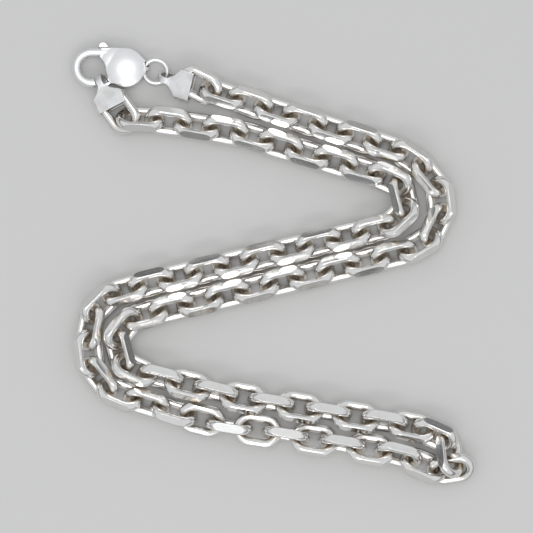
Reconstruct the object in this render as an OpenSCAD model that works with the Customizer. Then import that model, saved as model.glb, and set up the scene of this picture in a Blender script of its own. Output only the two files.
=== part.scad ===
// Cable chain necklace, closed by its lobster clasp and laid down doubled in three runs.
// X points to the right along the runs, Y away along the flat, Z up from the surface.

/* [Links] */
// Outer length of one chain link
link_l = 10.1; // [10:0.05:10.2]
// Outer width of one chain link before its flats are cut
link_w = 7.3; // [7.25:0.05:7.4]
// Diameter of the wire that the links are bent from
wire_d = 2.0; // [1.8:0.05:2.0]
// Depth of the bright flat cut on each long side of a link
flat_cut = 0.5; // [0.4:0.01:0.55]
// Distance from one link to the next along a straight stretch of the outer run
outer_pitch = 5.8; // [5.79:0.01:5.81]
// Distance from one link to the next along a straight stretch of the inner run
inner_pitch = 5.83; // [5.82:0.01:5.84]
// Side roll of a link at rest, to the left and to the right in turn
side_roll = 45; // [44:1:46]

/* [Clasp] */
// Thickness of the clasp over the middle of its belly
belly_t = 4.0; // [3.8:0.1:4.2]
// Thickness of the clasp along the edge of its belly
edge_t = 2.2; // [2.1:0.1:2.4]
// Outer radius of the hook
hook_r = 4.05; // [4.0:0.05:4.1]
// Width of the hook's bar, seen from above
hook_bar = 1.85; // [1.75:0.05:1.9]
// Thickness of the thumb lever's plate
lever_t = 1.0; // [0.9:0.05:1.0]
// Clearance on each side of the lever in its slot
lever_play = 0.1; // [0.08:0.01:0.12]
// Diameter of the rivet that the lever turns on
pin_d = 0.9; // [0.8:0.05:1.0]
// Turn of the lever from shut to open
open_deg = 0; // [0:1:12]

/* [Jump ring and end caps] */
// Outer diameter of the jump ring
ring_d = 5.74; // [5.7:0.02:5.8]
// Wire diameter of the jump ring
ring_wire = 0.9; // [0.8:0.05:0.95]
// Length of an end cap from its fold to its wide end
cap_l = 7.5; // [7.3:0.1:7.5]
// Width of an end cap at its wide end
cap_w = 6.9; // [6.7:0.1:6.9]
// Width of the folded strap at the neck of an end cap
strap_w = 1.3; // [1.1:0.1:1.3]
// Sheet thickness of an end cap
sheet_t = 0.5; // [0.45:0.05:0.55]

/* [Hidden] */
$fn = 48;

// Offset that puts the middle of the whole necklace over the origin
middle = [0.11, 0.64, 0];

// Silver of the links, and the brighter polish of the clasp, ring and caps
link_colour = [0.74, 0.72, 0.68];
clasp_colour = [0.86, 0.87, 0.89];

// Sizes that follow from the link's own
bend_r = (link_w - wire_d) / 2;
straight_l = link_l - link_w;
flats_w = link_w - 2 * flat_cut;
// Turn of the wire's section at which its flat begins
flat_edge = acos(1 - 2 * flat_cut / wire_d);

// The middle lines of the two runs of chain on the surface, as rounded corners.
// Columns: x, y, corner radius
outer_route = [
    [-13.2, 34.9, 0],
    [27.2, 21.9, 9.0],
    [34.5, 15.2, 9.0],
    [34.0, 3.6, 9.0],
    [-32.1, -12.3, 5.7],
    [-32.3, -21.5, 5.7],
    [-8.0, -27.6, 40],
    [24.0, -32.9, 20],
    [40.0, -36.2, 0]];
inner_route = [
    [-30.1, 29.4, 0],
    [-21.0, 28.4, 30],
    [-7.0, 26.1, 30],
    [27.2, 15.8, 4.95],
    [27.2, 8.0, 4.95],
    [-38.0, -7.6, 9.2],
    [-37.9, -25.1, 9.2],
    [-14.0, -32.7, 30],
    [22.0, -38.7, 20],
    [40.0, -43.4, 0]];
outer_count = 35;
inner_count = 37;

// Links that lean in their own way, most of them on the last stretch, where one link in
// two stands nearly on edge. Columns: link, roll
outer_rolls = [[2, -48], [27, 58], [28, -38], [29, 66], [30, -33], [31, 71], [32, -33],
    [33, 71], [34, -34], [35, 62], [36, -38]];
inner_rolls = [[28, 44], [29, -60], [30, 22], [31, -84], [32, -12], [33, -103], [34, -29],
    [35, -111], [36, -33], [37, -126]];

// The links around the far turn, where one run goes over into the other.
// Columns: x, y, z, heading, rise, roll
turn_outer = [
    [32.6, -35.4, 3.2, -23, 5, 44],
    [35.7, -39.2, 3.65, -86, 22, -46],
    [36.0, -42.4, 2.75, 190, -9, -31]];
turn_inner = [
    [30.4, -41.6, 2.9, -22, 0, -45]];

// The inner run's first link, lifted a little by the bar of the link that it hangs in
inner_first = [[-27.2, 28.9, 3.15, -3, 0, -49]];

// Links lie closer in a bend, by this share of the pitch for each radian of turn
crowd = 0.08;
// Rise of a link that is raised on the outside of a bend, for each degree of turn
ride_up = 0.02;
// How far a link sags below the middle of its two neighbours
sag = 0.1;
// Air under the lowest link
seat_gap = 0.04;

// Heading from one point to the next, and an angle brought within half a turn
function head(a, b) = atan2(b[1] - a[1], b[0] - a[0]);
function wrap(a) = a - 360 * floor((a + 180) / 360);

// Points along the arc that rounds corner i of a route
function corner(t, i) = let (
    h = head(t[i - 1], t[i]),
    turn = wrap(head(t[i], t[i + 1]) - h),
    side = sign(turn),
    r = t[i][2],
    back = r * tan(abs(turn) / 2),
    n = max(2, ceil(abs(turn) / 4)),
    cx = t[i][0] - back * cos(h) - side * r * sin(h),
    cy = t[i][1] - back * sin(h) + side * r * cos(h)
) [for (k = [0:n]) [cx + side * r * sin(h + turn * k / n), cy - side * r * cos(h + turn * k / n)]];

// All points of a route, and rows of length along it, x and y
function route_points(t) = [
    [t[0][0], t[0][1]],
    for (i = [1:len(t) - 2]) each corner(t, i),
    [t[len(t) - 1][0], t[len(t) - 1][1]]];
function measured(p) = [
    for (i = 0, s = 0; i < len(p); s = s + norm(p[min(i + 1, len(p) - 1)] - p[i]), i = i + 1)
        [s, p[i][0], p[i][1]]];

// Place and heading at length s along a measured route
function at(m, s) = [lookup(s, [for (q = m) [q[0], q[1]]]), lookup(s, [for (q = m) [q[0], q[2]]])];
function course(m, s) = head(at(m, s), at(m, s + 0.02));

// Lengths along the route at which neighbouring links hang in each other
function next_joint(m, pitch, s) =
    s + pitch * (1 - crowd * abs(wrap(course(m, s + pitch) - course(m, s))) * PI / 180);
function joints(m, pitch, n, s = 0) =
    n == 0 ? [s] : concat([s], joints(m, pitch, n - 1, next_joint(m, pitch, s)));

// Height of a link's middle when it rests on its lower bar at a given roll
function lean(roll) = abs(wrap(2 * roll) / 2);
function rest_z(roll) =
    bend_r * sin(lean(roll)) + wire_d / 2 * cos(max(0, flat_edge - 90 + lean(roll))) + seat_gap;

// Roll of link k, where the first link of the run is number k0 and leans to side0
function own_roll(k, own) = [for (q = own) if (q[0] == k) q[1]];
function roll_of(k, k0, side0, own) = len(own_roll(k, own)) > 0
    ? own_roll(k, own)[0]
    : side0 * ((k - k0) % 2 == 0 ? 1 : -1) * side_roll;

// Rows of x, y, z, heading, rise and roll for the n links of one run
function run(t, pitch, n, k0, side0, own) = let (
    m = measured(route_points(t)),
    s = joints(m, pitch, n),
    p = [for (q = s) at(m, q)],
    h = [for (i = [0:n - 1]) head(p[i], p[i + 1])]
) [for (i = [0:n - 1]) let (
    roll = roll_of(i + k0, k0, side0, own),
    before = rest_z(roll_of(i + k0 - 1, k0, side0, own)),
    after = rest_z(roll_of(i + k0 + 1, k0, side0, own)),
    turn = wrap(h[min(i + 1, n - 1)] - h[max(i - 1, 0)]) / 2,
    side = side0 * (i % 2 == 0 ? 1 : -1),
    z = max(rest_z(roll), (before + after) / 2 - sag) + ride_up * max(0, -side * turn)
) [(p[i][0] + p[i + 1][0]) / 2, (p[i][1] + p[i + 1][1]) / 2, z, h[i], 0, roll]];

outer_run = run(outer_route, outer_pitch, outer_count, 2, -1, outer_rolls);
inner_run = run(inner_route, inner_pitch, inner_count, 1, -1, inner_rolls);
outer_links = concat(outer_run, turn_outer);
inner_links = concat(inner_first, [for (i = [1:inner_count - 1]) inner_run[i]], turn_inner);

// Puts what is drawn along +X at a place, with its heading, rise and roll
module lay(row) {
    translate(middle + [row[0], row[1], row[2]])
        rotate([row[5], -row[4], row[3]])
            children();
}

// One oval link of round wire along X, with a flat cut on each long side
module link() {
    intersection() {
        union() {
            for (side = [-1, 1]) {
                translate([side * straight_l / 2, 0, 0])
                    rotate([0, 0, -90 * side])
                        rotate_extrude(angle = 180)
                            translate([bend_r, 0])
                                circle(d = wire_d);
                translate([-straight_l / 2, side * bend_r, 0])
                    rotate([0, 90, 0])
                        cylinder(d = wire_d, h = straight_l);
            }
        }
        cube([link_l + 1, flats_w, wire_d + 1], center = true);
    }
}

module chain_outer_strand() {
    color(link_colour)
        for (row = outer_links)
            lay(row)
                link();
}

module chain_inner_strand() {
    color(link_colour)
        for (row = inner_links)
            lay(row)
                link();
}

// Space between the plates of an end cap: the soldered link's wire bites a little into both
plate_gap = wire_d - 0.1;
cap_t = plate_gap + 2 * sheet_t;
// Inner radius of the fold that the ring or the lever passes through
fold_r = 1.3;
fold_x = fold_r + sheet_t;

// Outline of the cap's plates, seen square on: strap, flared shoulders and wide end
module cap_outline() {
    s = strap_w / 2;
    w = cap_w / 2;
    polygon([[-0.5, -s], [2.4, -s], [3.6, -1.65], [4.65, -w + 0.2], [5.3, -w], [cap_l, -w + 0.1],
        [cap_l, w - 0.1], [5.3, w], [4.65, w - 0.2], [3.6, 1.65], [2.4, s], [-0.5, s]]);
}

// Side section of the cap: the round fold, then two level plates
module cap_section(r, half_t) {
    translate([fold_x, 0])
        circle(r = r);
    translate([fold_x, -half_t])
        square([cap_l + 2 - fold_x, 2 * half_t]);
}

// Folded end cap along X, its fold at x = 0. Its right side is closed and rounded,
// its left side is an open slot.
module cap() {
    wall_y = -cap_w / 2;
    difference() {
        intersection() {
            translate([0, 0, -3])
                linear_extrude(6)
                    cap_outline();
            translate([0, 5, 0])
                rotate([90, 0, 0])
                    linear_extrude(10)
                        cap_section(fold_x, cap_t / 2);
            union() {
                translate([-1, wall_y + cap_t / 2, 0])
                    rotate([0, 90, 0])
                        cylinder(d = cap_t + 0.3, h = cap_l + 2);
                translate([-1, wall_y + cap_t / 2, -3])
                    cube([cap_l + 2, cap_w + 1, 6]);
            }
        }
        // way through the fold, from side to side
        translate([0, 5, 0])
            rotate([90, 0, 0])
                linear_extrude(10)
                    intersection() {
                        cap_section(fold_r, plate_gap / 2);
                        translate([0, -3])
                            square([3.5, 6]);
                    }
        // space between the plates, open at the wide end and on the left
        translate([3.3, wall_y + sheet_t + 0.15, -plate_gap / 2])
            cube([cap_l, cap_w + 1, plate_gap]);
    }
}

// End cap with the first link of its run soldered between the plates. The link's middle
// is at spot, and it is turned by skew in the plates' plane and tipped by tilt out of it.
module capped_link(spot, skew, tilt) {
    cap();
    translate(spot)
        rotate([0, -tilt, 0])
            rotate([0, 0, skew])
                link();
}

// Rows of x, y, z, heading, rise and roll of the two caps at their folds
cap_a_row = [-23.6, 37.95, 1.82, -20, 9.3, 28];
cap_b_row = [-35.75, 37.95, 1.9, -66, 5.5, 17];

module end_cap_a() {
    color(clasp_colour)
        lay(cap_a_row)
            capped_link([8.66, 0.75, -0.35], -8.9, -5.8);
}

module end_cap_b() {
    color(clasp_colour)
        lay(cap_b_row)
            capped_link([8.56, 0.83, -0.25], 10, -7.5);
}

// The clasp's own frame has its origin at the lever's rivet, half-way up the clasp
clasp_row = [-31.57, 38.13, 2.0, 0, 0, 0];
hook_mid = [-5.6, 1.3];
belly_mid = [1.27, 1.27];
belly_r = 4.0;
top_y = hook_mid[1] + hook_r;
hole_r = hook_r - hook_bar;
// Sphere that domes the belly from its edge to its middle
dome_rise = (belly_t - edge_t) / 2;
dome_r = (belly_r * belly_r + dome_rise * dome_rise) / (2 * dome_rise);
// Radius at which the hook's tip faces the lever's end
tip_r = 5.15;
ring_mid = [7.4, 0.5, 0];
ring_tilt = 16;
slot_t = lever_t + 2 * lever_play;
// Thickness of the shoulder between the hook's top bar and the belly, and the middle,
// the radius and the thickness of the shallow dome on it
shoulder_t = 2.06;
shoulder_mid = [-0.9, 2.5];
shoulder_r = 9;
shoulder_dome_t = 2.9;
arm_t = lever_t - 0.3;

// Rounded bar section of the hook, mid radius at x
module bar_section(x) {
    r = hook_bar / 2;
    tall = 2.2;
    translate([x, 0])
        union() {
            translate([-r, -tall / 2 + r])
                square([2 * r, tall - 2 * r]);
            for (side = [-1, 1])
                translate([0, side * (tall / 2 - r)])
                    circle(r = r);
        }
}

// Pear outline of the clasp's belly with the shoulder of the hook's eye
module belly_outline() {
    difference() {
        union() {
            translate(belly_mid)
                circle(r = belly_r);
            polygon([[-3.6, top_y], [1.27, top_y - 0.07], [3.6, 1.3], [0.2, -2.4], [-1.7, -1.95],
                [-2.4, -1.3], [-2.35, -0.3], [-2.6, 1.0], [-3.1, 2.4], [-3.9, 3.4]]);
            polygon([[3.9, 4.3], [5.5, 2.6], [5.5, 0.3], [4.6, -0.9]]);
        }
        translate(hook_mid)
            circle(r = hole_r);
    }
}

// Lens of two equal domes, t thick over its middle
module lens(mid, r, t) {
    intersection() {
        translate([mid[0], mid[1], t / 2 - r])
            sphere(r = r);
        translate([mid[0], mid[1], r - t / 2])
            sphere(r = r);
    }
}

// Belly with both faces domed, which runs out over a lower dome into the hook's shoulder
module belly() {
    intersection() {
        translate([0, 0, -3])
            linear_extrude(6)
                belly_outline();
        union() {
            lens(belly_mid, dome_r, belly_t);
            lens(shoulder_mid, shoulder_r, shoulder_dome_t);
            translate([-10, -10, -shoulder_t / 2])
                cube([20, 20, shoulder_t]);
        }
    }
}

// Hook: the round eye from its top bar to its tip
module hook() {
    translate([hook_mid[0], hook_mid[1], 0])
        rotate([0, 0, 90])
            rotate_extrude(angle = 208)
                bar_section(hook_r - hook_bar / 2);
    translate([hook_mid[0], top_y - hook_bar / 2, 0])
        rotate([90, 0, 90])
            linear_extrude(4.4)
                bar_section(0);
}

// Eye at the tail, through which the jump ring passes
module tail_lug() {
    translate([4.95, 2.25, 0])
        rotate([90, 0, 0])
            cylinder(r = 1.2, h = 1.65);
}

module jump_ring_shape(d) {
    translate(ring_mid)
        rotate([ring_tilt, 0, 0])
            rotate_extrude()
                translate([(ring_d - ring_wire) / 2, 0])
                    circle(d = d);
}

// Slot for the lever, from the top bar down to the open lower corner
module lever_slot() {
    translate([0, 0, -slot_t / 2])
        linear_extrude(slot_t)
            polygon([[-4.3, 7], [0.3, 7], [0.3, 3.2], [1.8, 1.5], [1.8, -1.0], [0.6, -2.6],
                [-0.6, -4], [-6, -4], [-2.9, 1.0], [-3.6, 3.0], [-4.3, 3.6]]);
}

module clasp_body() {
    color(clasp_colour)
        lay(clasp_row)
            difference() {
                union() {
                    belly();
                    hook();
                    tail_lug();
                }
                lever_slot();
                // the hook's tip is cut round the rivet
                translate([0, 0, -3])
                    intersection() {
                        cylinder(r = tip_r, h = 6);
                        translate([-7, -4, 0])
                            cube([4.55, 4, 6]);
                    }
                jump_ring_shape(ring_wire + 0.5);
                translate([0, 0, -1.5])
                    cylinder(d = pin_d + 0.06, h = 3);
            }
}

// Lever plate: thumb piece up to the top bar, hub, and gate arm down to the hook's tip
module clasp_lever() {
    color(clasp_colour)
        lay(clasp_row)
            rotate([0, 0, -open_deg])
                difference() {
                    union() {
                        translate([0, 0, -lever_t / 2])
                            linear_extrude(lever_t) {
                                circle(r = 1.3);
                                polygon([[-4.0, 5.6], [-2.3, 5.6], [-1.1, 2.6], [1.1, 0.7], [-1.2, -0.5],
                                    [-2.6, 2.6], [-3.6, 4.4]]);
                                polygon([[-1.2, 0.5], [1.0, -0.8], [-0.3, -1.75], [-1.5, -1.9],
                                    [-1.7, -1.4]]);
                            }
                        // gate arm, closed against the hook's tip
                        translate([0, 0, -arm_t / 2])
                            linear_extrude(arm_t)
                                intersection() {
                                    circle(r = tip_r - 0.14);
                                    polygon([[-0.6, -0.8], [-0.6, -1.6], [-1.7, -1.9], [-2.6, -2.6],
                                        [-5, -2.6], [-5, -2.3], [-2.7, -1.85]]);
                                }
                        // thumb piece above the top bar
                        translate([0, 0, -0.8])
                            linear_extrude(1.6)
                                intersection() {
                                    union() {
                                        translate([-3.3, 5.65])
                                            circle(r = 0.8);
                                        polygon([[-4.1, 5], [-1.75, 5], [-2.7, 6.2], [-4.0, 5.8]]);
                                    }
                                    translate([-5, top_y + 0.12])
                                        square([4, 2]);
                                }
                    }
                    translate([0, 0, -1])
                        cylinder(d = pin_d + 0.16, h = 2);
                }
}

module clasp_pin() {
    color(clasp_colour)
        lay(clasp_row)
            translate([0, 0, -1.45])
                cylinder(d = pin_d, h = 2.9);
}

module jump_ring() {
    color(clasp_colour)
        lay(clasp_row)
            jump_ring_shape(ring_wire);
}

clasp_body();
clasp_lever();
clasp_pin();
jump_ring();
end_cap_a();
end_cap_b();
chain_outer_strand();
chain_inner_strand();
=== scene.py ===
import math
import random

import bmesh
import bpy
import numpy as np
from bpy.props import FloatProperty, FloatVectorProperty, PointerProperty
from bpy.types import Operator, Panel, PropertyGroup
from mathutils import Matrix, Vector
from mathutils.bvhtree import BVHTree


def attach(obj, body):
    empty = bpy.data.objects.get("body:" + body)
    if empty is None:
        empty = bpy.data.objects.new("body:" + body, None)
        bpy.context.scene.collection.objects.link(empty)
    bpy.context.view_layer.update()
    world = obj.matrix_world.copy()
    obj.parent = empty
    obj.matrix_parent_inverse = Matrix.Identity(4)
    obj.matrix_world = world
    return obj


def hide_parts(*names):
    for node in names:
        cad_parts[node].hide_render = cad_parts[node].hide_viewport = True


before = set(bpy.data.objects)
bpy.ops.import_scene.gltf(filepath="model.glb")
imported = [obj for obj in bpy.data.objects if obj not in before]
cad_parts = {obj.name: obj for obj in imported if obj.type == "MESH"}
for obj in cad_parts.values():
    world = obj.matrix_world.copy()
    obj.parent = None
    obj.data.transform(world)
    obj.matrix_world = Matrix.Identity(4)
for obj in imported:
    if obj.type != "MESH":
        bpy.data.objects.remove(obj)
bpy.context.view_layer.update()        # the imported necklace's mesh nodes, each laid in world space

bl_info = {
    "name": "Cable Chain Necklace",
    "version": (1, 0, 0),
    "blender": (4, 5, 0),
    "location": "3D View > Sidebar > Necklace",
    "description": "Dresses a cable chain necklace with flat-cut links and a lobster clasp",
    "category": "Add Mesh",
}

MM = 0.001
BODY = "necklace"
LEVER = "lever"

# Places on the laid necklace, as its source gives them, in mm and degrees: the middle of
# its outline, and the rows x, y, z, heading, rise and roll of its two end caps. Each cap
# holds its soldered link at a spot, skewed and tipped.
MIDDLE = (0.11, 0.64, 0.0)
CAPS = {
    "end_cap_a": dict(row=(-23.6, 37.95, 1.82, -20, 9.3, 28),
                      spot=(8.66, 0.75, -0.35), skew=-8.9, tip=-5.8),
    "end_cap_b": dict(row=(-35.75, 37.95, 1.9, -66, 5.5, 17),
                      spot=(8.56, 0.83, -0.25), skew=10, tip=-7.5),
}
# Pivot of the clasp's lever, and the jump ring's spot from there and its tilt
CLASP_PIVOT = (-31.46, 38.77, 2.0)
RING_SPOT = (7.4, 0.5, 0.0)
RING_TILT = 16

# Loose links in each strand, and the seeds of the small differences between their cuts
STRAND_LINKS = 38
STRAND_SEEDS = {"chain_outer_strand": 11, "chain_inner_strand": 29}
CAP_SEED = 50

# How finely a link is faced. CUT_SWEEP holds shares of the angle that a flat cut takes of
# each end, closer together where the cut runs out of the wire, SIDE_SWEEP shares of half
# the straight side, and CHORD shares of half the cut's width.
CUT_SWEEP = (0, 0.22, 0.42, 0.58, 0.71, 0.82, 0.905, 0.965, 1.0)
END_SECTIONS = 12
SIDE_SWEEP = (0.5, 0.0, -0.5)
CHORD = (-1.0, -0.5, 0.0, 0.5, 1.0)
WIRE_POINTS = 21

# How the flat cuts of links differ: shares of the cut's depth, and the most that a cut
# slants across the wire and along it, for CUT_REACH each way from its middle.
CUT_DEPTHS = (0.9, 1.08)
CUT_ROLL = 0.035
CUT_SLOPE = 0.012
CUT_REACH = 2.5 * MM

# Half the angle of the wire that a section's chord spans, in radians: for whole wire, and
# from where the chord counts as a cut. A section that faces less to the side than
# CUT_SIDEWAYS isn't cut, and a cut's worn edge takes at most EDGE_SHARE of half its chord.
WHOLE_WIRE = 0.04
CUT_FROM = 0.05
CUT_SIDEWAYS = 0.2
EDGE_SHARE = 0.35

# Each link takes its finish from its own block of it. The blocks lie FINISH_STEP metres
# apart, FINISH_COLUMNS of them in a row, on FINISH_LAYERS layers in turn.
FINISH_STEP = (0.0137, 0.0113, 0.0171)
FINISH_COLUMNS = 7
FINISH_LAYERS = 5

# Points of a strand's mesh that round to the same step of this size count as one point
SAME_PLACE = 0.0001 * MM

# Rounds of smoothing that wear the edges of the cast and the folded pieces
CASTINGS = {"clasp_body": dict(body=BODY, rounds=10),
            "clasp_lever": dict(body=LEVER, rounds=3)}
CAP_ROUNDS = 3

# A fold's metal within TUCK_REACH of its link is drawn in by up to TUCK, and by all of it
# from TUCK_WHOLE of the reach inwards. A point further under the wire's surface than SUNK
# of the tuck counts as inside the wire.
TUCK = 0.08 * MM
TUCK_REACH = 0.2 * MM
TUCK_WHOLE = 0.6
SUNK = 0.4

# Faces round the jump ring and round its wire, and the seam where its ends meet: the
# station that it is at, its depth as a share of the wire and its width in stations
RING_AROUND = 144
RING_ACROSS = 28
SEAM_AT = 18
SEAM_DEPTH = 0.10
SEAM_WIDTH = 0.8

# Tarnish and painted shade in crevices: how near metal must be to close a surface in, the
# openness at which a surface starts to stain and darken and is fully stained and darkened,
# the features a metre of its broad and its fine clouds with their shares, and the part of the
# broad clouds that blooms on open faces as tarnish
CREVICE = 1.6 * MM
OPEN_TO_CLOSED = (0.90, 0.30)
BROAD_CLOUDS = 420.0
FINE_CLOUDS = 2600.0
BROAD_SHARE = 0.9
FINE_SHARE = 0.6
BLOOM_CLOUDS = (0.42, 0.70)

# Hairline scratches: rows of angle in radians, length over width and number a metre, the
# lean out of the plane, the part of the noise that is a line, and the roughness it adds
SCRATCHES = ((0.5, 14, 900.0), (-0.9, 18, 1300.0), (1.35, 10, 1100.0))
SCRATCH_LEAN = 0.35
SCRATCH_LINE = (0.60, 0.70)
SCRATCH_ROUGHNESS = 0.07

# The three silvers. Each takes its colours from a group of settings, and its place from a
# point layer or, for None, from the piece's own coordinates. amount is how much tarnish and
# painted shade the crevices get, and bloom how much tarnish clouds the open faces. gloss is
# the roughness of clean and of darkened metal, and ripple and scratch are (scale, height).
FINISHES = {
    "Chain silver": dict(
        colours="necklace_links", place="place", amount=1.0, bloom=0.08, gloss=(0.13, 0.40),
        ripple=(330.0, 0.012 * MM), scratch=(1.5, 0.0002 * MM)),
    "Polished silver": dict(
        colours="necklace_clasp", place=None, amount=0.5, bloom=0.2, gloss=(0.33, 0.44),
        ripple=(190.0, 0.010 * MM), scratch=(1.2, 0.0003 * MM)),
    "Satin silver": dict(
        colours="necklace_clasp", place=None, amount=0.7, bloom=0.50, gloss=(0.36, 0.48),
        ripple=(300.0, 0.060 * MM), scratch=(1.6, 0.0010 * MM)),
}

# Camera: the point that it looks straight down on, in mm, and the width of its sensor
VIEW_MIDDLE = (-1.43, -0.49)
SENSOR = 36

# The tent brightens from rim to sky, and again in its middle, between these heights, each
# the sine of an angle above the floor.
RIM_TO_SKY = (0.02, 0.34)
SKY_TO_TOP = (0.91, 0.97)
TENT_WHITE = (0.97, 0.985, 1.0, 1)

# Lights that face the necklace: place and size in metres, and the setting of their power
LIGHTS = {
    "Overhead": dict(place=(-0.04, 0.03, 0.62), size=(0.18, 0.14), power="key"),
    "Front": dict(place=(0.02, -0.40, 0.54), size=(0.50, 0.06), power="strip"),
}
LIGHT_WHITE = (1.0, 0.99, 0.97)
FLOOR_REACH = 1.5


# Settings

class LinkSettings(PropertyGroup):
    wire: FloatProperty(name="Wire", description="Diameter of the link wire",
                        default=2.0 * MM, unit="LENGTH")
    length: FloatProperty(name="Length", description="Outer length of a link",
                          default=10.1 * MM, unit="LENGTH")
    width: FloatProperty(name="Width", description="Outer width of a link before it is cut",
                         default=7.3 * MM, unit="LENGTH")
    cut: FloatProperty(name="Cut", description="Depth of the flat cut on each long side",
                       default=0.5 * MM, unit="LENGTH")
    edge: FloatProperty(name="Edge", description="Width of the worn edge round a flat cut",
                        default=0.05 * MM, unit="LENGTH")
    silver: FloatVectorProperty(name="Silver", description="Colour of the clean chain silver",
                                default=(0.88, 0.875, 0.865), size=3, subtype="COLOR",
                                min=0, max=1)
    # The tarnish colour also stands for painted shade in the crevices between links
    tarnish_and_shade: FloatVectorProperty(name="Tarnish and shade", description="Colour left in the crevices",
                                 default=(0.50, 0.41, 0.30), size=3, subtype="COLOR",
                                 min=0, max=1)


class ClaspSettings(PropertyGroup):
    grain: FloatProperty(name="Grain", description="Size of the faces of the cast pieces",
                         default=0.075 * MM, unit="LENGTH")
    ring_size: FloatProperty(name="Ring size", description="Outer diameter of the jump ring",
                             default=5.74 * MM, unit="LENGTH")
    ring_wire: FloatProperty(name="Ring wire", description="Diameter of the jump ring's wire",
                             default=0.9 * MM, unit="LENGTH")
    silver: FloatVectorProperty(name="Silver", description="Colour of the polished silver",
                                default=(0.93, 0.935, 0.945), size=3, subtype="COLOR",
                                min=0, max=1)
    # The tarnish colour also stands for painted shade in the clasp's corners
    tarnish_and_shade: FloatVectorProperty(name="Tarnish and shade", description="Colour left in the corners",
                                 default=(0.45, 0.41, 0.36), size=3, subtype="COLOR",
                                 min=0, max=1)


class StageSettings(PropertyGroup):
    view_width: FloatProperty(name="View width", description="Width of the view at the chain",
                              default=109.3 * MM, unit="LENGTH")
    distance: FloatProperty(name="Distance", description="Height of the camera",
                            default=0.42, unit="LENGTH")
    floor: FloatVectorProperty(name="Floor", description="Colour of the floor",
                               default=(0.64, 0.637, 0.63), size=3, subtype="COLOR",
                               min=0, max=1)
    key: FloatProperty(name="Key", description="Power of the soft light overhead",
                       default=0.45, unit="POWER")
    strip: FloatProperty(name="Strip", description="Power of the long strip light in front",
                         default=0.40, unit="POWER")
    sky: FloatProperty(name="Sky", description="Brightness of the white tent overhead",
                       default=0.74, min=0, max=3)
    rim: FloatProperty(name="Rim", description="Brightness of the room near the floor",
                       default=0.06, min=0, max=3)
    top: FloatProperty(name="Top", description="Brightness that the tent's middle adds",
                       default=0.50, min=0, max=3)


# Small helpers

def add_object(name, mesh):
    obj = bpy.data.objects.new(name, mesh)
    bpy.context.scene.collection.objects.link(obj)
    return obj


def dress(mesh, body, finish_name, replaced):
    """Adds a mesh as a piece, with its finish and body, and hides the node it stands for."""
    obj = add_object(mesh.name, mesh)
    mesh.materials.clear()
    mesh.materials.append(finish(finish_name))
    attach(obj, body)
    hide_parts(replaced)


def points_of(mesh):
    points = np.zeros(len(mesh.vertices) * 3)
    mesh.vertices.foreach_get("co", points)
    return points.reshape(-1, 3)


def mesh_from(name, points, faces):
    mesh = bpy.data.meshes.new(name)
    mesh.from_pydata(points.tolist(), [], faces.tolist())
    mesh.update()
    mesh.shade_smooth()
    return mesh


def tube_faces(around, across):
    """Four-sided faces of a closed tube, with its points in order, section by section."""
    faces = []
    for i in range(around):
        here = i * across
        there = (i + 1) % around * across
        for j in range(across):
            k = (j + 1) % across
            faces.append((here + j, there + j, there + k, here + k))
    return np.array(faces)


def turned(axis, degrees):
    return Matrix.Rotation(math.radians(degrees), 4, axis)


def laid(row):
    """Matrix of a row x, y, z, heading, rise, roll in mm and degrees."""
    x, y, z, heading, rise, roll = row
    spot = Vector((x + MIDDLE[0], y + MIDDLE[1], z + MIDDLE[2])) * MM
    return (Matrix.Translation(spot) @ turned("Z", heading) @ turned("Y", -rise)
            @ turned("X", roll))


# Links

def link_stations(sizes):
    """Angle of the normal, and centre x and y, of each section round a link's oval."""
    bend = (sizes.width - sizes.wire) / 2
    half = (sizes.length - sizes.wire - 2 * bend) / 2
    cut_end = math.degrees(math.acos((sizes.width - 2 * sizes.cut) / sizes.width))
    near = [cut_end * share for share in CUT_SWEEP]
    uncut = [cut_end + (180 - 2 * cut_end) * i / END_SECTIONS for i in range(1, END_SECTIONS)]
    sweep = near + uncut + [180 - a for a in reversed(near)]
    stations = []
    for start, end in ((0, 1), (180, -1)):
        for a in sweep:
            angle = math.radians(start - 90 + a)
            stations.append((angle, end * half + bend * math.cos(angle),
                             bend * math.sin(angle)))
        angle = math.radians(start + 90)
        for share in SIDE_SWEEP:
            stations.append((angle, end * half * share, bend * math.sin(angle)))
    return stations


def link_shape(sizes, draw):
    """Points, normals and faces of one link along X, with its two flat cuts.

    Each section is an arc of the wire closed by a straight chord. The cuts of every link
    differ a little in depth and slant.
    """
    r = sizes.wire / 2
    cuts = {side: (sizes.cut * draw.uniform(*CUT_DEPTHS), draw.uniform(-CUT_ROLL, CUT_ROLL),
                   draw.uniform(-CUT_SLOPE, CUT_SLOPE)) for side in (-1, 1)}
    stations = link_stations(sizes)
    points, normals = [], []
    for angle, x, y in stations:
        out = Vector((math.cos(angle), math.sin(angle), 0))
        side = 1 if out.y > 0 else -1
        depth, roll, slope = cuts[side]
        share = 1
        if abs(out.y) > CUT_SIDEWAYS:
            share = (sizes.width / 2 - depth - abs(y)) / (r * abs(out.y))
        chord_angle = max(math.acos(min(share, 1.0)), WHOLE_WIRE)
        is_cut = chord_angle > CUT_FROM
        half = r * math.sin(chord_angle)
        edge = min(sizes.edge, EDGE_SHARE * half)
        centre = Vector((x, y, 0))
        first = chord_angle + edge / r
        for i in range(WIRE_POINTS):
            a = first + (2 * math.pi - 2 * first) * i / (WIRE_POINTS - 1)
            normal = out * math.cos(a) + Vector((0, 0, math.sin(a)))
            points.append(centre + normal * r)
            normals.append(normal)
        flat = Vector((-slope, side, -roll)).normalized() if is_cut else out
        for t in CHORD:
            across = t * (half - edge)
            slant = 0
            if is_cut:
                slant = (roll * across - abs(roll) * half
                         + slope * x - abs(slope) * CUT_REACH)
            points.append(centre + out * (r * math.cos(chord_angle) + slant)
                          + Vector((0, 0, across)))
            normals.append(flat)
    faces = tube_faces(len(stations), WIRE_POINTS + len(CHORD))
    return np.array([p[:] for p in points]), np.array([v[:] for v in normals]), faces


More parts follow.
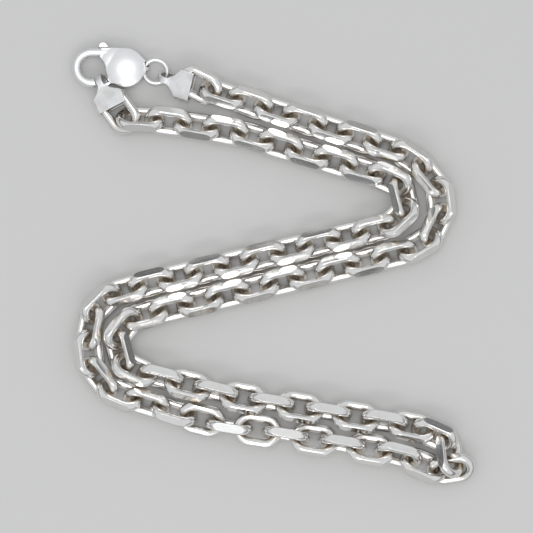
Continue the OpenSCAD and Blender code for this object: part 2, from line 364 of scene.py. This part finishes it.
def loose_parts(triangles):
    """For each triangle of point numbers, a number for the loose part that it is in."""
    parent = list(range(triangles.max() + 1))

    def root(i):
        while parent[i] != i:
            parent[i] = parent[parent[i]]
            i = parent[i]
        return i

    for triangle in triangles.tolist():
        a, b, c = (root(i) for i in triangle)
        parent[b] = a
        parent[c] = a
    return np.array([root(i) for i in triangles[:, 0].tolist()])


def link_poses(name):
    """Centre and axes of every loose link in a CAD node, from how its area spreads."""
    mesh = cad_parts[name].data
    mesh.calc_loop_triangles()
    points = points_of(mesh)
    corners = np.zeros(len(mesh.loop_triangles) * 3, np.int32)
    mesh.loop_triangles.foreach_get("vertices", corners)
    corners = corners.reshape(-1, 3)
    _, same = np.unique(np.round(points / SAME_PLACE), axis=0, return_inverse=True)
    part = loose_parts(same.reshape(-1)[corners])
    poses = []
    for p in dict.fromkeys(part.tolist()):
        a, b, c = (points[corners[part == p][:, k]] for k in range(3))
        area = np.linalg.norm(np.cross(b - a, c - a), axis=1) / 2
        middle = ((a + b + c) * area[:, None]).sum(0) / 3 / area.sum()
        a, b, c = a - middle, b - middle, c - middle
        total = a + b + c
        spread = sum(np.einsum("n,ni,nj->ij", area, v, v) for v in (a, b, c, total))
        _, axes = np.linalg.eigh(spread)
        x, y = axes[:, 2], axes[:, 1]
        poses.append((middle, np.column_stack([x, y, np.cross(x, y)])))
    poses.sort(key=lambda pose: tuple(np.round(pose[0] / MM, 2)))
    return poses


def links_mesh(name, sizes, poses, seed):
    """One mesh of a link at each pose, with each point's own place for the finish."""
    draw = random.Random(seed)
    points, normals, faces, places = [], [], [], []
    start = 0
    for i, (middle, axes) in enumerate(poses):
        link_points, link_normals, link_faces = link_shape(sizes, draw)
        points.append(link_points @ axes.T + middle)
        normals.append(link_normals @ axes.T)
        faces.append(link_faces + start)
        block = np.array([i % FINISH_COLUMNS, i // FINISH_COLUMNS, i % FINISH_LAYERS])
        places.append(link_points + block * FINISH_STEP)
        start += len(link_points)
    mesh = mesh_from(name, np.concatenate(points), np.concatenate(faces))
    mesh.normals_split_custom_set_from_vertices(np.concatenate(normals).tolist())
    layer = mesh.attributes.new("place", "FLOAT_VECTOR", "POINT")
    layer.data.foreach_set("vector", np.concatenate(places).astype(np.float32).ravel())
    return mesh


# Cast and folded pieces

def softened(node_name, mesh_name, grain, rounds):
    """A finely faced copy of a CAD node with its sharp edges worn round."""
    obj = add_object(node_name + "_copy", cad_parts[node_name].data.copy())
    remesh = obj.modifiers.new("faces", "REMESH")
    remesh.mode = "VOXEL"
    remesh.voxel_size = grain
    smooth = obj.modifiers.new("worn edges", "SMOOTH")
    smooth.factor = 0.5
    smooth.iterations = rounds
    bpy.context.view_layer.update()
    seen = obj.evaluated_get(bpy.context.evaluated_depsgraph_get())
    mesh = bpy.data.meshes.new_from_object(seen)
    bpy.data.objects.remove(obj)
    mesh.name = mesh_name
    mesh.shade_smooth()
    return mesh


def tucked(fold, link):
    """Draws a fold in under its link near the wire, and drops the faces inside the wire."""
    tree = BVHTree.FromPolygons([Vector(p) for p in points_of(link)],
                                [p.vertices[:] for p in link.polygons])
    inside = set()
    for v in fold.vertices:
        spot, normal, _, _ = tree.find_nearest(v.co)
        gap = (v.co - spot).dot(normal)
        if gap < TUCK_REACH:
            pull = TUCK * min(1.0, (TUCK_REACH - gap) / (TUCK_WHOLE * TUCK_REACH))
            v.co -= normal * pull
            if gap - pull < -SUNK * TUCK:
                inside.add(v.index)
    gone = [p.index for p in fold.polygons if all(i in inside for i in p.vertices)]
    bm = bmesh.new()
    bm.from_mesh(fold)
    bm.faces.ensure_lookup_table()
    bmesh.ops.delete(bm, geom=[bm.faces[i] for i in gone], context="FACES")
    bm.to_mesh(fold)
    bm.free()
    fold.update()


def ring_mesh(name, sizes, matrix):
    """The jump ring, with a fine seam where its ends meet."""
    big, small = (sizes.ring_size - sizes.ring_wire) / 2, sizes.ring_wire / 2
    points = []
    for i in range(RING_AROUND):
        a = 2 * math.pi * i / RING_AROUND
        r = small * (1 - SEAM_DEPTH * math.exp(-((i - SEAM_AT) / SEAM_WIDTH) ** 2))
        for j in range(RING_ACROSS):
            b = 2 * math.pi * j / RING_ACROSS
            reach = big + r * math.cos(b)
            spot = Vector((reach * math.cos(a), reach * math.sin(a), r * math.sin(b)))
            points.append((matrix @ spot)[:])
    return mesh_from(name, np.array(points), tube_faces(RING_AROUND, RING_ACROSS))


# Materials

def node(tree, kind, inputs=(), **settings):
    """Adds a node, sets its settings, and links or sets each (socket, value) of inputs."""
    made = tree.nodes.new(kind)
    for key, value in settings.items():
        setattr(made, key, value)
    for key, value in inputs:
        socket = made.inputs[key]
        if isinstance(value, bpy.types.NodeSocket):
            tree.links.new(value, socket)
        else:
            socket.default_value = value
    return made


def math_node(tree, operation, a, b, clamp=False):
    return node(tree, "ShaderNodeMath", ((0, a), (1, b)), operation=operation,
                use_clamp=clamp).outputs[0]


def ranged(tree, value, span, low=0.0, high=1.0, curve="LINEAR"):
    """The value's way along a span, from low at its start to high at its end."""
    return node(tree, "ShaderNodeMapRange", (
        ("Value", value), ("From Min", span[0]), ("From Max", span[1]), ("To Min", low),
        ("To Max", high)), clamp=True, interpolation_type=curve).outputs["Result"]


def noise(tree, place, scale, detail, roughness=0.5):
    return node(tree, "ShaderNodeTexNoise", (
        ("Vector", place), ("Scale", scale), ("Detail", detail),
        ("Roughness", roughness))).outputs["Fac"]


def new_group(name, inputs, outputs):
    tree = bpy.data.node_groups.new(name, "ShaderNodeTree")
    for title, kind, default in inputs:
        socket = tree.interface.new_socket(title, in_out="INPUT", socket_type=kind)
        if default is not None:
            socket.default_value = default
    for title, kind in outputs:
        tree.interface.new_socket(title, in_out="OUTPUT", socket_type=kind)
    return tree, node(tree, "NodeGroupInput"), node(tree, "NodeGroupOutput")


def tarnish_and_shade_group():
    """Mask of the tarnish and painted shade in crevices, from how closed in a surface is, and of
    the tarnish's faint bloom on open faces.
    """
    tree, given, out = new_group(
        "Crevice Tarnish",
        (("Place", "NodeSocketVector", None), ("Openness", "NodeSocketFloat", 1.0),
         ("Amount", "NodeSocketFloat", 1.0), ("Bloom", "NodeSocketFloat", 0.1)),
        (("Mask", "NodeSocketFloat"),))
    broad = noise(tree, given.outputs["Place"], BROAD_CLOUDS, detail=3.0)
    fine = noise(tree, given.outputs["Place"], FINE_CLOUDS, detail=4.0)
    # Painted shade: metal closed in by nearby metal takes the tarnish colour, shade and tarnish
    # together
    closed = ranged(tree, given.outputs["Openness"], OPEN_TO_CLOSED)
    patchy = math_node(tree, "ADD", math_node(tree, "MULTIPLY", broad, BROAD_SHARE),
                       math_node(tree, "MULTIPLY", fine, FINE_SHARE))
    deep = math_node(tree, "MULTIPLY", closed, patchy)
    bloom = math_node(tree, "MULTIPLY", ranged(tree, broad, BLOOM_CLOUDS),
                      given.outputs["Bloom"])
    total = math_node(tree, "ADD", deep, bloom)
    mask = math_node(tree, "MULTIPLY", total, given.outputs["Amount"], clamp=True)
    tree.links.new(mask, out.inputs["Mask"])


def scratch_group():
    """Height of fine hairline scratches that cross, and a mask of their lines."""
    tree, given, out = new_group(
        "Hairline Scratches",
        (("Place", "NodeSocketVector", None), ("Scale", "NodeSocketFloat", 1.0)),
        (("Height", "NodeSocketFloat"), ("Lines", "NodeSocketFloat")))
    lines = None
    for angle, stretch, count in SCRATCHES:
        turn = node(tree, "ShaderNodeMapping", (
            ("Vector", given.outputs["Place"]), ("Rotation", (angle, SCRATCH_LEAN * angle, angle)),
            ("Scale", (1.0, stretch, stretch)))).outputs[0]
        scale = math_node(tree, "MULTIPLY", given.outputs["Scale"], count)
        thin = ranged(tree, noise(tree, turn, scale, detail=1.0), SCRATCH_LINE)
        lines = thin if lines is None else math_node(tree, "MAXIMUM", lines, thin)
    tree.links.new(lines, out.inputs["Lines"])
    tree.links.new(math_node(tree, "MULTIPLY", lines, -1.0), out.inputs["Height"])


def ripple_group():
    """Height of the slow unevenness of hand-finished metal."""
    tree, given, out = new_group(
        "Soft Ripple",
        (("Place", "NodeSocketVector", None), ("Scale", "NodeSocketFloat", 300.0)),
        (("Height", "NodeSocketFloat"),))
    wave = noise(tree, given.outputs["Place"], given.outputs["Scale"], detail=2.0,
                 roughness=0.45)
    tree.links.new(wave, out.inputs["Height"])


def silver(name, clean, stained_and_shaded, place, amount, bloom, gloss, ripple, scratch):
    """Silver with tarnish and painted shade in its crevices, hairline scratches and a soft ripple.
    """
    material = bpy.data.materials.new(name)
    material.use_nodes = True
    tree = material.node_tree
    tree.nodes.clear()
    if place:
        spot = node(tree, "ShaderNodeAttribute", attribute_name=place).outputs["Vector"]
    else:
        spot = node(tree, "ShaderNodeTexCoord").outputs["Object"]
    # Ambient occlusion finds the crevices, where painted shade goes on with the tarnish
    openness = node(tree, "ShaderNodeAmbientOcclusion", (("Distance", CREVICE),),
                    samples=8).outputs["AO"]
    groups = bpy.data.node_groups
    mask = node(tree, "ShaderNodeGroup", (
        ("Place", spot), ("Openness", openness), ("Amount", amount), ("Bloom", bloom)),
        node_tree=groups["Crevice Tarnish"]).outputs["Mask"]
    wear = node(tree, "ShaderNodeGroup", (("Place", spot), ("Scale", scratch[0])),
                node_tree=groups["Hairline Scratches"])
    wave = node(tree, "ShaderNodeGroup", (("Place", spot), ("Scale", ripple[0])),
                node_tree=groups["Soft Ripple"])
    # sockets 6 and 7 are the colours of a Mix node, and 2 is its colour output
    # Painted shade and tarnish: the colour darkens toward the tarnish colour where crevices close
    # in
    tone = node(tree, "ShaderNodeMix", (("Factor", mask), (6, (*clean, 1)),
                (7, (*stained_and_shaded, 1))), data_type="RGBA").outputs[2]
    dull = ranged(tree, mask, (0.0, 1.0), *gloss)
    scratched = math_node(tree, "MULTIPLY", wear.outputs["Lines"], SCRATCH_ROUGHNESS)
    rough = math_node(tree, "ADD", dull, scratched, clamp=True)
    rippled = node(tree, "ShaderNodeBump", (
        ("Height", wave.outputs["Height"]), ("Distance", ripple[1]), ("Strength", 1.0)))
    bump = node(tree, "ShaderNodeBump", (
        ("Height", wear.outputs["Height"]), ("Distance", scratch[1]), ("Strength", 1.0),
        ("Normal", rippled.outputs["Normal"])))
    shader = node(tree, "ShaderNodeBsdfPrincipled", (
        ("Base Color", tone), ("Roughness", rough), ("Metallic", 1.0),
        ("Normal", bump.outputs["Normal"])))
    out = node(tree, "ShaderNodeOutputMaterial", (("Surface", shader.outputs[0]),))
    out.is_active_output = True
    return material


def finish(name):
    """The named silver, made once."""
    if name in bpy.data.materials:
        return bpy.data.materials[name]
    if "Crevice Tarnish" not in bpy.data.node_groups:
        tarnish_and_shade_group()
        scratch_group()
        ripple_group()
    row = dict(FINISHES[name])
    colours = getattr(bpy.context.scene, row.pop("colours"))
    return silver(name, colours.silver, colours.tarnish_and_shade, **row)


def studio_world(stage):
    """A white tent, brightest in its middle overhead, that darkens towards the floor."""
    world = bpy.data.worlds.new("Studio")
    world.use_nodes = True
    tree = world.node_tree
    tree.nodes.clear()
    ray = node(tree, "ShaderNodeTexCoord").outputs["Generated"]
    height = node(tree, "ShaderNodeSeparateXYZ", (("Vector", ray),)).outputs["Z"]
    sky = ranged(tree, height, RIM_TO_SKY, stage.rim, stage.sky, curve="SMOOTHSTEP")
    top = ranged(tree, height, SKY_TO_TOP, 0.0, stage.top, curve="SMOOTHSTEP")
    glow = math_node(tree, "ADD", sky, top)
    back = node(tree, "ShaderNodeBackground", (("Color", TENT_WHITE), ("Strength", glow)))
    node(tree, "ShaderNodeOutputWorld", (("Surface", back.outputs[0]),))
    return world


# Operators

class NECKLACE_OT_camera(Operator):
    """Set the camera straight above the laid necklace"""
    bl_idname = "necklace.camera"
    bl_label = "Camera"

    def execute(self, context):
        stage = context.scene.necklace_stage
        camera = bpy.data.cameras.new("Camera")
        camera.sensor_width = SENSOR
        camera.lens = SENSOR * stage.distance / stage.view_width
        camera.clip_start = 0.01
        obj = bpy.data.objects.new("Camera", camera)
        obj.location = (VIEW_MIDDLE[0] * MM, VIEW_MIDDLE[1] * MM, stage.distance)
        context.scene.collection.objects.link(obj)
        context.scene.camera = obj
        return {"FINISHED"}


class NECKLACE_OT_links(Operator):
    """Lay detailed flat-cut links over the two strands of chain"""
    bl_idname = "necklace.links"
    bl_label = "Chain links"

    def execute(self, context):
        for name, seed in STRAND_SEEDS.items():
            poses = link_poses(name)
            if len(poses) != STRAND_LINKS:
                raise RuntimeError(f"{name} has {len(poses)} links, not {STRAND_LINKS}")
            mesh = links_mesh(name.replace("strand", "links"), context.scene.necklace_links,
                              poses, seed)
            dress(mesh, BODY, "Chain silver", name)
        return {"FINISHED"}


class NECKLACE_OT_end_caps(Operator):
    """Make the two folded end caps and the links soldered into them"""
    bl_idname = "necklace.end_caps"
    bl_label = "End caps"

    def execute(self, context):
        links, clasp = context.scene.necklace_links, context.scene.necklace_clasp
        for seed, (name, cap) in enumerate(CAPS.items(), CAP_SEED):
            pose = (laid(cap["row"]) @ Matrix.Translation(Vector(cap["spot"]) * MM)
                    @ turned("Y", -cap["tip"]) @ turned("Z", cap["skew"]))
            spot, axes = np.array(pose.translation), np.array(pose.to_3x3())
            link = links_mesh(name + "_link", links, [(spot, axes)], seed)
            fold = softened(name, name + "_fold", clasp.grain, CAP_ROUNDS)
            tucked(fold, link)
            dress(fold, BODY, "Satin silver", name)
            dress(link, BODY, "Chain silver", name)
        return {"FINISHED"}


class NECKLACE_OT_clasp(Operator):
    """Make the lobster clasp's body, its thumb lever and its rivet"""
    bl_idname = "necklace.clasp"
    bl_label = "Clasp"

    def execute(self, context):
        grain = context.scene.necklace_clasp.grain
        for name, cast in CASTINGS.items():
            mesh = softened(name, name + "_cast", grain, cast["rounds"])
            dress(mesh, cast["body"], "Polished silver", name)
        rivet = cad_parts["clasp_pin"]
        rivet.data.materials.clear()
        rivet.data.materials.append(finish("Polished silver"))
        return {"FINISHED"}


class NECKLACE_OT_jump_ring(Operator):
    """Make the closed jump ring between the clasp and an end cap"""
    bl_idname = "necklace.jump_ring"
    bl_label = "Jump ring"

    def execute(self, context):
        spot = (Vector(CLASP_PIVOT) + Vector(RING_SPOT)) * MM
        mesh = ring_mesh("jump_ring_wire", context.scene.necklace_clasp,
                         Matrix.Translation(spot) @ turned("X", RING_TILT))
        dress(mesh, BODY, "Polished silver", "jump_ring")
        return {"FINISHED"}


class NECKLACE_OT_stage(Operator):
    """Lay the plain pale floor and hang the soft studio lights"""
    bl_idname = "necklace.stage"
    bl_label = "Floor and light"

    def execute(self, context):
        stage = context.scene.necklace_stage
        corners = [(x * FLOOR_REACH, y * FLOOR_REACH, 0)
                   for x, y in ((-1, -1), (1, -1), (1, 1), (-1, 1))]
        floor = mesh_from("Floor", np.array(corners), np.array([(0, 1, 2, 3)]))
        material = bpy.data.materials.new("Pale floor")
        material.use_nodes = True
        shader = material.node_tree.nodes["Principled BSDF"]
        shader.inputs["Base Color"].default_value = (*stage.floor, 1)
        shader.inputs["Roughness"].default_value = 0.9
        shader.inputs["Specular IOR Level"].default_value = 0.1
        floor.materials.append(material)
        add_object("Floor", floor)
        context.scene.world = studio_world(stage)
        context.scene.view_settings.view_transform = "Standard"
        for name, row in LIGHTS.items():
            light = bpy.data.lights.new(name, "AREA")
            light.shape = "RECTANGLE"
            light.size, light.size_y = row["size"]
            light.energy = getattr(stage, row["power"])
            light.color = LIGHT_WHITE
            obj = bpy.data.objects.new(name, light)
            obj.location = row["place"]
            obj.rotation_euler = (-Vector(row["place"])).to_track_quat("-Z", "Y").to_euler()
            context.scene.collection.objects.link(obj)
        return {"FINISHED"}


class NECKLACE_PT_panel(Panel):
    """The necklace's settings and steps"""
    bl_idname = "NECKLACE_PT_panel"
    bl_label = "Cable chain necklace"
    bl_space_type = "VIEW_3D"
    bl_region_type = "UI"
    bl_category = "Necklace"

    def draw(self, context):
        for group in SETTINGS:
            settings = getattr(context.scene, group)
            box = self.layout.box()
            for key in settings.__annotations__:
                box.prop(settings, key)
        for step in STEPS:
            self.layout.operator(step.bl_idname)


SETTINGS = {"necklace_links": LinkSettings, "necklace_clasp": ClaspSettings,
            "necklace_stage": StageSettings}
STEPS = (NECKLACE_OT_camera, NECKLACE_OT_links, NECKLACE_OT_end_caps, NECKLACE_OT_clasp,
         NECKLACE_OT_jump_ring, NECKLACE_OT_stage)


def register():
    for cls in (*SETTINGS.values(), *STEPS, NECKLACE_PT_panel):
        bpy.utils.register_class(cls)
    for name, cls in SETTINGS.items():
        setattr(bpy.types.Scene, name, PointerProperty(type=cls))


def unregister():
    for name in SETTINGS:
        delattr(bpy.types.Scene, name)
    for cls in (NECKLACE_PT_panel, *reversed(STEPS), *reversed(tuple(SETTINGS.values()))):
        bpy.utils.unregister_class(cls)


def main():
    register()
    bpy.ops.necklace.camera()
    bpy.ops.necklace.links()
    bpy.ops.necklace.end_caps()
    bpy.ops.necklace.clasp()
    bpy.ops.necklace.jump_ring()
    bpy.ops.necklace.stage()


if __name__ == "__main__":
    main()
